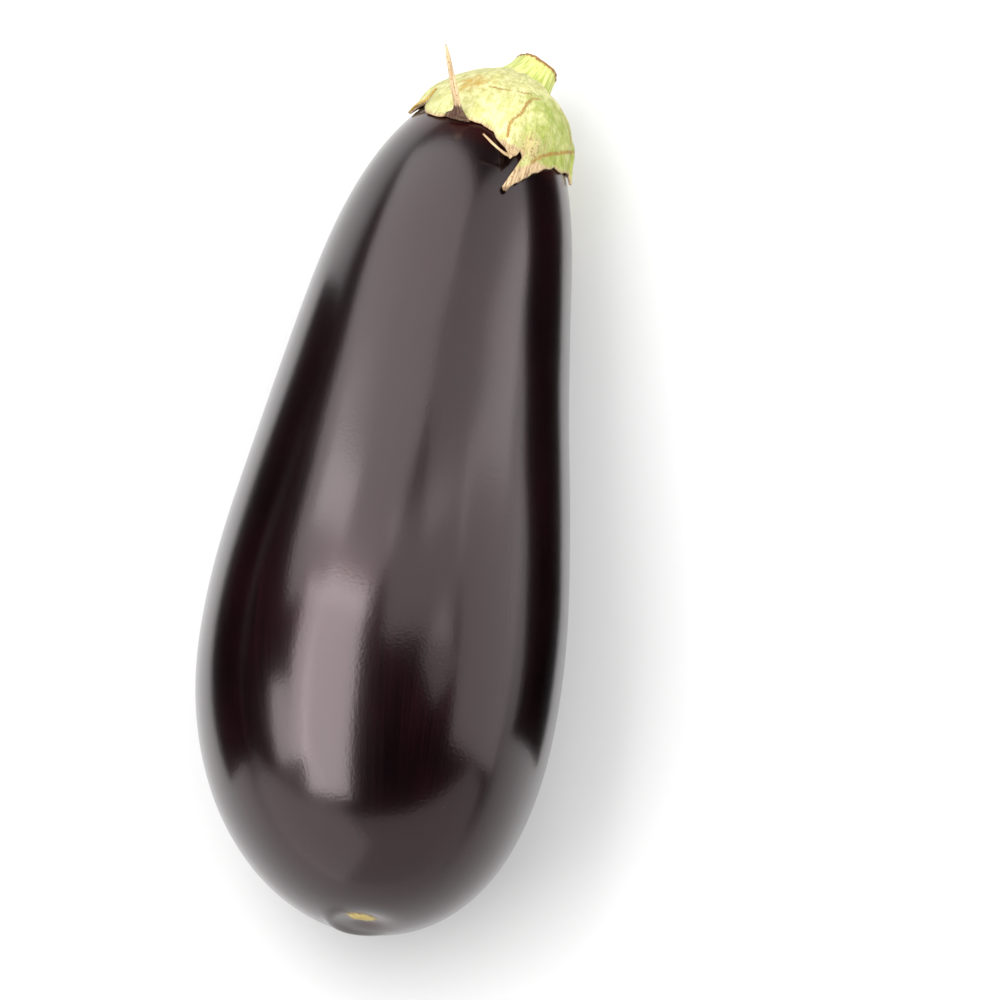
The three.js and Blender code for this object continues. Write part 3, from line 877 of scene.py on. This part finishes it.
    def height(self, turn: np.ndarray, down: np.ndarray, edge_down: np.ndarray) -> np.ndarray:
        """Height of the cap over the skin.

        The body rises from the edge as 1 - exp(-back / fade); ribs, the fuller shoulder and small bumps are
        laid on it, and a bell-shaped collar goes round the stem.

        Args:
            turn: angles round the axis, degrees.
            down: angles down from the stem pole, degrees.
            edge_down: where the edge lies on each column, degrees.

        Returns:
            Heights in millimetres.
        """
        inward = 1 - np.exp(-np.maximum(edge_down - down, 0) / self.edge_fade)
        body = self.edge_height + (self.cap_height - self.edge_height) * inward
        rib = np.max([hump(turn_away(turn, a), self.ridge[1]) for a in self.rib_angles], axis=0)
        relief = self.ridge[0] * (rib - 0.4) * np.sin(np.pi * np.clip(down / edge_down, 0, 1))
        rise, at_turn, at_down, width = self.shoulder
        shoulder = rise * hump(turn_away(turn, at_turn), width) * hump(down - at_down, width / 3)
        t, d = np.radians(turn), np.radians(down)
        broad, fine = self.bump_heights
        bumps = broad * np.sin(7 * t + 9 * d) * np.cos(3 * t - 17 * d)
        bumps = bumps + fine * np.sin(19 * t - 8 * d) * np.sin(23 * d + 4 * t) * np.clip(down / 12, 0, 1)
        fibres = self.fibre_height * np.sin(61 * t + 3 * np.sin(9 * d)) * np.clip(down / 15, 0, 1)
        return body + (relief + bumps + shoulder + fibres) * inward + self.collar[0] * hump(down, self.collar[1])

    @staticmethod
    def on_lobe(turn: np.ndarray, down: np.ndarray, place: tuple[float, ...]) -> np.ndarray:
        """How far a point lies in a place of strength, start and full down, turn and half width."""
        most, start, full, at_turn, half_width = place
        return most * smooth_step(down, start, full) * (turn_away(turn, at_turn) < half_width)

    def in_spot(self, turn: np.ndarray, down: np.ndarray, spot: tuple[float, float, float]) -> np.ndarray:
        """Bell curve of the distance from a spot.

        Args:
            turn: angles round the axis, degrees.
            down: angles down from the stem pole, degrees.
            spot: turn, down and reach.

        Returns:
            How far each place is in the spot, 0 to 1.
        """
        at_turn, at_down, reach = spot
        aside = turn_from(turn, at_turn) * (np.sin(np.radians(down)) * self.width_per_turn)
        return hump(np.hypot(aside, down - at_down), reach)

    def lift(self, turn: np.ndarray, down: np.ndarray) -> np.ndarray:
        """How far the edge stands off the skin: a sum of bell curves of turn, small at the long lobe's tip."""
        held = 1 - self.on_lobe(turn, down, self.held_tip)
        return held * sum(far * hump(turn_away(turn, at), width) for at, width, far in self.lifts)

    def marks(self, turn: np.ndarray, down: np.ndarray, dry: np.ndarray) -> dict[str, np.ndarray]:
        """Fields that place the colours.

        They are the grain, the green side, dry husk, brown seams, the golden patch, charred places and how
        clean of specks a place is. Seams are bell curves of the distance from a chain of straight stretches.

        Args:
            turn: angles round the axis, degrees.
            down: angles down from the stem pole, degrees.
            dry: how dry each place is by its form, 0 to 1.

        Returns:
            Values for each place, by the name of the attribute.
        """
        grain = wrapped_grain(self.grain_radius, np.radians(turn), down * self.grain_per_down)
        scale = np.sin(np.radians(down)) * self.width_per_turn
        seam = np.zeros_like(turn)
        for chain in self.seams:
            for (t0, d0), (t1, d1) in zip(chain, chain[1:]):
                x, y = turn_from(turn, t0) * scale, down - d0
                u, v = (t1 - t0) * scale, d1 - d0
                share = np.clip((x * u + y * v) / (u * u + v * v), 0, 1)
                seam = np.maximum(seam, hump(np.hypot(x - share * u, y - share * v), self.seam_width))
        gold = self.most_gold * self.in_spot(turn, down, self.golden)
        middle, none, full = self.green_turn
        green = smooth_step(turn_away(turn, middle), none, full) * smooth_step(down, *self.green_down)
        peppered = self.in_spot(turn, down, self.pepper)
        clean = self.most_clean * (1 - np.maximum(peppered, self.husk_share * dry))
        dry = np.maximum(dry, self.husk_share * peppered)
        char = np.max([self.on_lobe(turn, down, place) for place in self.charred], axis=0)
        return {
            "grain": grain, "green": green, "dry": dry, "seam": seam, "gold": gold, "char": char, "clean": clean
        }

    def cap(self) -> bpy.types.Object:
        """The fused cap, lobes and all.

        Columns run from the stem pole down to a root near the edge and from there out into the lobe; the
        sheet then rounds its edge and comes back under itself, just clear of the skin.

        Returns:
            The cap, not yet dressed.
        """
        turn_edge, down_edge, turn_root = self.edge_course().T
        count = len(turn_edge)
        down_root = np.minimum(self.root_share * down_edge, self.root_limit)
        even = turn_edge[0] + 360 * np.arange(count) / count
        inner = np.linspace(0, 1, self.body_rings + 1)[1:, None]
        turn_body = even + (turn_root - even) * inner**0.6
        down_body = down_root * inner
        outer = np.linspace(0, 1, self.lobe_rings + 1)[1:, None] ** 0.8
        turn_lobe = turn_root + (turn_edge - turn_root) * outer
        down_lobe = down_root + (down_edge - down_root) * outer
        reach = down_root + np.minimum(down_edge - down_root, self.lobe_reach)
        high_body = self.height(turn_body, down_body, reach)
        high_root = self.height(turn_root, down_root, reach)
        high_lobe = self.edge_height + (high_root - self.edge_height) * (1 - outer) ** 1.2
        raised = self.lift(turn_lobe, down_lobe) * outer**2
        top = BERRY.over_skin(turn_body, down_body, high_body)
        lobe = BERRY.over_skin(turn_lobe, down_lobe, high_lobe + raised)
        middle = BERRY.over_skin(
            turn_edge, down_edge + 0.25, (self.edge_height + self.under_gap) / 2 + self.lift(turn_edge, down_edge)
        )
        under = BERRY.over_skin(turn_lobe[::-1], down_lobe[::-1], self.under_gap + raised[::-1])
        turn_back, down_back = turn_body[:: -self.back_step], down_body[:: -self.back_step]
        back = BERRY.over_skin(turn_back, down_back, self.under_gap)
        rings = np.concatenate([top, lobe, middle[None], under, back])
        turns = np.concatenate([turn_body, turn_lobe, turn_edge[None], turn_lobe[::-1], turn_back])
        downs = np.concatenate([down_body, down_lobe, down_edge[None], down_lobe[::-1], down_back])
        long_from, long_span, sooner = self.long_lobe
        long = np.clip((down_edge - long_from) / long_span, 0, 1)
        dry_lobe = smooth_step(outer + sooner * long, *self.dry_band)
        dry_under = np.ones((len(rings) - len(top) - len(lobe), count))
        dry = np.concatenate([np.zeros_like(turn_body), dry_lobe, dry_under])
        pole, foot = BERRY.stem_pole(high_body[0].mean()), BERRY.stem_pole(self.under_gap)
        return closed_surface("calyx_cap", pole, rings, foot, self.marks(turns, downs, dry))

    def blade(self, lobe: Lobe) -> bpy.types.Object:
        """One narrow dry end: a flat, keeled section carried along a smooth path over the skin.

        A point of the section at angle a is centre + wide * half width * cos a + thick * (half thickness *
        sin a + keel * (cos^2 a - 1/2)).

        Args:
            lobe: the narrow end to make.

        Returns:
            The blade, not yet dressed.
        """
        stops = np.array(lobe.path, float)
        centre = through_points(BERRY.over_skin(stops[:, 0], stops[:, 1], stops[:, 2]), self.blade_steps)
        share = np.linspace(0, 1, len(centre))
        width = np.interp(share, np.linspace(0, 1, len(lobe.widths)), lobe.widths)
        tangent = unit(np.gradient(centre, axis=0))
        _, _, ahead, aside = BERRY.skin_frame(stops[:1, 0], stops[:1, 1])
        flat = aside * math.cos(math.radians(lobe.across)) + ahead * math.sin(math.radians(lobe.across))
        wide = unit(flat - tangent * np.sum(flat * tangent, axis=-1, keepdims=True))
        thick = np.cross(tangent, wide)
        angle = np.arange(self.blade_sides) * 2 * np.pi / self.blade_sides
        half = (width / 2)[:, None]
        side = half * np.cos(angle)
        taper = smooth_step(1 - share, 0, 0.25)[:, None]
        out = lobe.thickness / 2 * np.sin(angle) * (0.45 + 0.55 * taper)
        out = out + lobe.keel * half / half.max() * (np.cos(angle) ** 2 - 0.5)
        rings = centre[:, None] + wide[:, None] * side[..., None] + thick[:, None] * out[..., None]
        turn = np.interp(share, np.linspace(0, 1, len(stops)), stops[:, 0])[:, None] + 0 * angle
        down = np.interp(share, np.linspace(0, 1, len(stops)), stops[:, 1])[:, None] + 0 * angle
        along = share[:, None] + 0 * angle
        marks = self.marks(turn, down, np.ones_like(turn))
        length = np.linalg.norm(np.diff(centre, axis=0), axis=-1).sum()
        marks["grain"] = np.stack([side + down[0, 0], out, along * length], axis=-1)
        vein = hump(np.cos(angle), 0.3) * smooth_step(along, *self.vein_char)
        marks["char"] = lobe.char * np.maximum(smooth_step(along, *self.root_char), 0.75 * vein)
        marks["gold"] = np.maximum(lobe.gold, lobe.char * smooth_step(along, *self.gold_end))
        marks["dry"] = marks["dry"] * (1 - lobe.gold)
        marks["seam"] = lobe.gold * smooth_step(along, *self.rusty_end)
        return closed_surface(lobe.name, centre[0], rings, centre[-1], marks)

    def build(self) -> list[bpy.types.Object]:
        """Makes the cap and its narrow ends and dresses them.

        Returns:
            The cap and the narrow ends.
        """
        material = self.finish.make()
        made = [self.cap(), *(self.blade(lobe) for lobe in self.lobes)]
        for piece in made:
            piece.data.materials.append(material)
            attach(piece, BODY)
            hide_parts("calyx")
        return made


@dataclass(frozen=True)
class CutStalk:
    """Green stalk with a dried cut.

    The rind gives the eye a matt pale green with long pale ridges; the cut is tan wood with a dark brown
    outer ring and a paler ring round its pith.
    """

    pale: str = "cfd284"
    green: str = "a5b052"
    brown: str = "8a5f2c"
    tan: str = "c2a878"
    pith: str = "e6dbbd"
    rough: float = 0.6
    ior: float = 1.42
    fibres_per_mm: tuple[float, float, float] = (1.6, 1.6, 0.14)
    crumbs_per_mm: float = 1.1

    # Where each pattern starts and is full.
    green_band: tuple[float, float] = (0.42, 0.62)
    edge_band: tuple[float, float] = (1.05, 1.35)
    wood_band: tuple[float, float] = (0.12, 0.3)
    pith_outer_band: tuple[float, float] = (0.45, 0.52)
    pith_inner_band: tuple[float, float] = (0.68, 0.6)

    def make(self) -> bpy.types.Material:
        """Builds the material from the attributes `grain`, `rim` (how near the cut) and `cut` (0 to 1 inward).

        Returns:
            The material.
        """
        material, tree = new_material("green_stalk_with_dried_cut")
        grain = add_node(tree, "ShaderNodeAttribute", {"attribute_name": "grain"}, out="Vector")
        rim, cut = (
            add_node(tree, "ShaderNodeAttribute", {"attribute_name": mark}, out="Fac") for mark in ("rim", "cut")
        )
        drawn_out = add_node(tree, "ShaderNodeMapping", {"Scale": self.fibres_per_mm}, {"Vector": grain})
        fibre, crumb = (
            add_node(tree, "ShaderNodeTexNoise", {"Scale": scale, "Detail": 4.0}, {"Vector": place})
            for place, scale in ((drawn_out, 1.0), (grain, self.crumbs_per_mm))
        )
        browned = add_node(tree, "ShaderNodeMath", {"operation": "ADD"}, {0: rim, 1: crumb})
        green, edge, wood, pith_outer, pith_inner = (
            add_node(tree, "ShaderNodeMapRange", dict(zip(BAND, band)), {"Value": value})
            for value, band in (
                (fibre, self.green_band),
                (browned, self.edge_band),
                (cut, self.wood_band),
                (cut, self.pith_outer_band),
                (cut, self.pith_inner_band),
            )
        )
        pith = add_node(tree, "ShaderNodeMath", {"operation": "MULTIPLY"}, {0: pith_outer, 1: pith_inner})
        colour = None
        for share, over in ((green, self.green), (edge, self.brown), (wood, self.tan), (pith, self.pith)):
            settings = {"data_type": "RGBA", MIX_A: linear(self.pale), MIX_B: linear(over)}
            links = {MIX_FACTOR: share} if colour is None else {MIX_FACTOR: share, MIX_A: colour}
            colour = add_node(tree, "ShaderNodeMix", settings, links, MIX_RESULT)
        ridged = add_node(tree, "ShaderNodeBump", {"Strength": 0.6, "Distance": 0.0004}, {"Height": fibre})
        crumbly = add_node(
            tree, "ShaderNodeBump", {"Distance": 0.0005}, {"Height": crumb, "Normal": ridged, "Strength": cut}
        )
        shader = add_node(
            tree,
            "ShaderNodeBsdfPrincipled",
            {"IOR": self.ior, "Roughness": self.rough},
            {"Base Color": colour, "Normal": crumbly},
        )
        add_node(tree, "ShaderNodeOutputMaterial", links={"Surface": shader})
        return material


@dataclass
class Stem:
    """Stub of the stem: a ribbed tube that narrows to a dished cut. Places count from the stem pole."""

    foot: tuple[float, float, float] = (1.7, 1.2, -0.6)
    cut: tuple[float, float, float] = (5.4, 8.5, -0.7)
    heading: float = 22.6
    drop: float = 2.5
    bend: float = 4.5
    radii: tuple[float, ...] = (7.6, 7.4, 6.9, 6.3, 5.9, 5.75)
    ribs: tuple[float, float, float, float] = (5, 0.045, 13, 0.018)
    dish: float = 0.7
    fluting: float = 0.012
    columns: int = 120
    steps: int = 44
    cut_rings: int = 14
    cut_span: tuple[float, float] = (0.04, 0.96)
    grain_radius: float = 6
    grain_length: float = 12
    rim_band: tuple[float, float] = (0.78, 1.0)
    finish: CutStalk = CutStalk()

    def build(self) -> bpy.types.Object:
        """Makes the stub: rings of radius * (1 + ribs) along a bent line, then rings that close over the cut.

        Returns:
            The dressed stub.
        """
        foot, cut = (BERRY.stem_pole() + np.array(place) for place in (self.foot, self.cut))
        corner = cut - direction(self.heading, -self.drop) * self.bend
        share = np.concatenate([np.linspace(0, 1, self.steps), np.ones(self.cut_rings)])[:, None]
        line = (1 - share) ** 2 * foot + 2 * share * (1 - share) * corner + share**2 * cut
        tangent = unit(2 * (1 - share) * (corner - foot) + 2 * share * (cut - corner))
        side = unit(np.cross([0, 0, 1], tangent))
        up = np.cross(tangent, side)
        inward = np.concatenate([np.zeros(self.steps), np.linspace(*self.cut_span, self.cut_rings)])[:, None]
        angle = np.arange(self.columns) * 2 * np.pi / self.columns
        count, rise, fine_count, fine_rise = self.ribs
        fade = 1 - inward
        ribs = (rise * np.cos(count * angle) + fine_rise * np.cos(fine_count * angle)) * fade
        ribs = ribs + self.fluting * np.sin(29 * angle + 2 * np.sin(3 * angle)) * fade
        radius = np.interp(share, np.linspace(0, 1, len(self.radii)), self.radii) * (1 + ribs) * (1 - inward)
        rounding = 0.35 * hump(inward - self.cut_span[0], 0.05)
        sink = self.dish * smooth_step(inward, 0.1, 0.45) + 0.25 * smooth_step(inward, 0.7, 1.0)
        sink = sink + 0.12 * np.sin(7 * angle + 5 * inward) * smooth_step(inward, 0.1, 0.4)
        centre = line[:, None] - tangent[:, None] * (sink - rounding * 0.3)[..., None]
        rings = (
            centre
            + side[:, None] * (radius * np.cos(angle))[..., None]
            + up[:, None] * (radius * np.sin(angle))[..., None]
        )
        grain = wrapped_grain(self.grain_radius, angle, self.grain_length * share)
        grain[self.steps :] *= (1 - inward[self.steps :])[..., None] + 0.01
        rim = smooth_step(share + 0 * angle, *self.rim_band)
        cut_field = inward + 0 * angle
        last = rings[-1].mean(0)
        stub = closed_surface("stem_stub", foot, rings, last, {"grain": grain, "rim": rim, "cut": cut_field})
        stub.data.materials.append(self.finish.make())
        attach(stub, BODY)
        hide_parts("stem")
        return stub


class Lights(Enum):
    """What a softbox lights: everything, only what glossy skin mirrors, or only matt surfaces."""

    ALL = "all"
    MIRRORED = "mirrored"
    MATT = "matt"


@dataclass(frozen=True)
class LightCard:
    """Softbox as a rectangular area light that faces the fruit.

    Attributes:
        name: object's name.
        bearing: degrees from +Y towards +X, as seen from above.
        rise: degrees above the floor.
        distance: from the fruit, millimetres.
        size: width and height, millimetres; the height points to +Y as far as it can.
        roll: turn in its own plane, degrees.
        radiance: brightness of its face.
        lights: which surfaces it lights.
    """

    name: str
    bearing: float
    rise: float
    distance: float
    size: tuple[float, float]
    roll: float
    radiance: float
    lights: Lights = Lights.ALL


@dataclass(frozen=True)
class BlackVelvet:
    """Black velvet of a studio flag: a deep matt black that sends back almost nothing."""

    colour: str = "060606"

    def make(self) -> bpy.types.Material:
        """Builds the material.

        Returns:
            The material.
        """
        material, tree = new_material("black_velvet")
        settings = {"Base Color": linear(self.colour), "Roughness": 1.0, "Specular IOR Level": 0.0}
        shader = add_node(tree, "ShaderNodeBsdfPrincipled", settings)
        add_node(tree, "ShaderNodeOutputMaterial", links={"Surface": shader})
        return material


@dataclass(frozen=True)
class Flag:
    """Upright black strip beside the fruit that the camera, matt surfaces and shadows don't see.

    It paints dark reflections: it darkens what the glossy skin mirrors, as a photographer's flag does, and takes no
    light off the fruit.

    Attributes:
        name: object's name.
        start: floor point of one end, x and y in millimetres.
        end: floor point of the other end.
        tops: heights of the two ends.
    """

    name: str
    start: tuple[float, float]
    end: tuple[float, float]
    tops: tuple[float, float]

    def build(self) -> bpy.types.Object:
        """Makes the strip from its four corners; only mirrored light sees it.

        Returns:
            The strip.
        """
        corners = np.array(
            [(*self.start, 1), (*self.end, 1), (*self.end, self.tops[1]), (*self.start, self.tops[0])]
        )
        mesh = bpy.data.meshes.new(self.name)
        mesh.from_pydata((corners * MM).tolist(), [], [(0, 1, 2, 3)])
        made = add_object(self.name, mesh)
        made.data.materials.append(BlackVelvet().make())
        made.visible_camera = made.visible_diffuse = made.visible_shadow = False
        return made


@dataclass
class Studio:
    """Pale floor, soft light and the camera at the photograph's viewing angle."""

    azimuth: float = 8.31
    elevation: float = 72.49
    target: tuple[float, float, float] = (21.40, 13.14, 40.0)
    distance: float = 1019.3
    lens: float = 150.0
    sensor: float = 36.0
    clip: tuple[float, float] = (0.01, 100)
    lit_point: tuple[float, float, float] = (0, 0, 45.0)
    floor_side: float = 30000.0
    room: float = 0.01
    cards: tuple[LightCard, ...] = (
        LightCard("softbox_key", -105, 61.5, 600, (330, 790), -4, 6.2),
        LightCard("softbox_key_side", -92, 43.5, 600, (115, 560), -4, 5.6, Lights.MIRRORED),
        LightCard("softbox_key_wing", -107, 29.5, 600, (130, 260), 0, 4.4, Lights.MIRRORED),
        LightCard("softbox_corner", -44, 32.7, 600, (230, 115), 0, 3.3),
        LightCard("softbox_far_left", -30, 34.5, 600, (640, 580), 0, 2.4, Lights.MIRRORED),
        LightCard("softbox_far_middle", 34.5, 53.5, 600, (480, 290), 4, 1.6),
        LightCard("softbox_far_top", 32, 22.5, 600, (560, 220), 0, 1.5),
        LightCard("softbox_low_corner", 71, 50.5, 600, (180, 180), 45, 1.2),
        LightCard("softbox_right", 69, 17.5, 600, (450, 620), 0, 1.65),
        LightCard("board_near", 176, 15, 600, (5200, 625), 22, 0.9),
        LightCard("board_near_left", -146, 12, 620, (760, 640), 0, 0.75),
        LightCard("fill_overhead", 60, 80, 1200, (1300, 1300), 0, 2.6, Lights.MATT),
    )

    flags: tuple[Flag, ...] = (
        Flag("flag_right", (55, 180), (82, -46), (56, 62)),
        Flag("flag_left", (-105, 115), (-132, -98), (62, 72)),
    )

    def axes(self) -> tuple[np.ndarray, np.ndarray, np.ndarray]:
        """Directions of the camera.

        Returns:
            Unit vectors to its right, up and backward.
        """
        a, e = math.radians(self.azimuth), math.radians(self.elevation)
        right = np.array([math.cos(a), math.sin(a), 0])
        back = np.array([math.sin(a) * math.cos(e), -math.cos(a) * math.cos(e), math.sin(e)])
        return right, np.cross(back, right), back

    @staticmethod
    def stand(obj: bpy.types.Object, right: np.ndarray, up: np.ndarray, back: np.ndarray, at: np.ndarray) -> None:
        """Places an object.

        Args:
            obj: object to place.
            right: direction of its X axis.
            up: direction of its Y axis.
            back: direction of its Z axis.
            at: its place, millimetres.
        """
        rows = np.eye(4)
        rows[:3, 0], rows[:3, 1], rows[:3, 2], rows[:3, 3] = right, up, back, at * MM
        obj.matrix_world = Matrix(rows.tolist())

    def camera(self) -> bpy.types.Object:
        """The photograph's camera: long lens, looking down on the fruit.

        Returns:
            The camera.
        """
        data = bpy.data.cameras.new("camera")
        data.lens, data.sensor_width = self.lens, self.sensor
        data.clip_start, data.clip_end = self.clip
        made = add_object("camera", data)
        right, up, back = self.axes()
        self.stand(made, right, up, back, np.array(self.target) + back * self.distance)
        bpy.context.scene.camera = made
        return made

    def light(self, card: LightCard) -> bpy.types.Object:
        """One softbox; its power is radiance * area * pi, as its face sends light into a half space.

        Args:
            card: the softbox to make.

        Returns:
            The light.
        """
        roll = math.radians(card.roll)
        out = direction(card.bearing, card.rise)
        across = unit(np.cross([0, 1, 0], out))
        along = np.cross(out, across)
        x = across * math.cos(roll) + along * math.sin(roll)
        y = along * math.cos(roll) - across * math.sin(roll)
        data = bpy.data.lights.new(card.name, "AREA")
        data.shape = "RECTANGLE"
        data.size, data.size_y = card.size[0] * MM, card.size[1] * MM
        data.energy = card.radiance * data.size * data.size_y * math.pi
        made = add_object(card.name, data)
        made.visible_camera = False
        made.visible_diffuse = card.lights is not Lights.MIRRORED
        made.visible_glossy = card.lights is not Lights.MATT
        self.stand(made, x, y, out, np.array(self.lit_point) + out * card.distance)
        return made

    def floor(self) -> bpy.types.Object:
        """Flat square under the fruit.

        Returns:
            The floor.
        """
        half = self.floor_side / 2 * MM
        mesh = bpy.data.meshes.new("floor")
        mesh.from_pydata([(-half, -half, 0), (half, -half, 0), (half, half, 0), (-half, half, 0)], [], [(0, 1, 2, 3)])
        made = add_object("floor", mesh)
        made.data.materials.append(WhiteFloor().make())
        return made

    def room_light(self) -> None:
        """Even dim light of the room beyond the softboxes."""
        world = bpy.data.worlds.new("studio")
        world.use_nodes = True
        tree = world.node_tree
        tree.nodes.clear()
        shader = add_node(tree, "ShaderNodeBackground", {"Color": (1, 1, 1, 1), "Strength": self.room})
        add_node(tree, "ShaderNodeOutputWorld", links={"Surface": shader})
        bpy.context.scene.world = world

    def build(self) -> None:
        """Sets up the whole studio."""
        self.camera()
        for card in self.cards:
            self.light(card)
        for flag in self.flags:
            flag.build()
        self.floor()
        self.room_light()
        settings = bpy.context.scene.view_settings
        settings.view_transform = "Standard"
        settings.look = "None"


def main() -> None:
    """Builds the eggplant and its studio and reports each piece."""
    logging.basicConfig(level=logging.INFO, format="%(name)s: %(message)s")
    made = [Fruit().build(), *Calyx().build(), Stem().build()]
    Studio().build()
    for piece in made:
        triangles = sum(len(face.vertices) - 2 for face in piece.data.polygons)
        LOG.info("%s: %d triangles", piece.name, triangles)


if __name__ == "__main__":
    main()
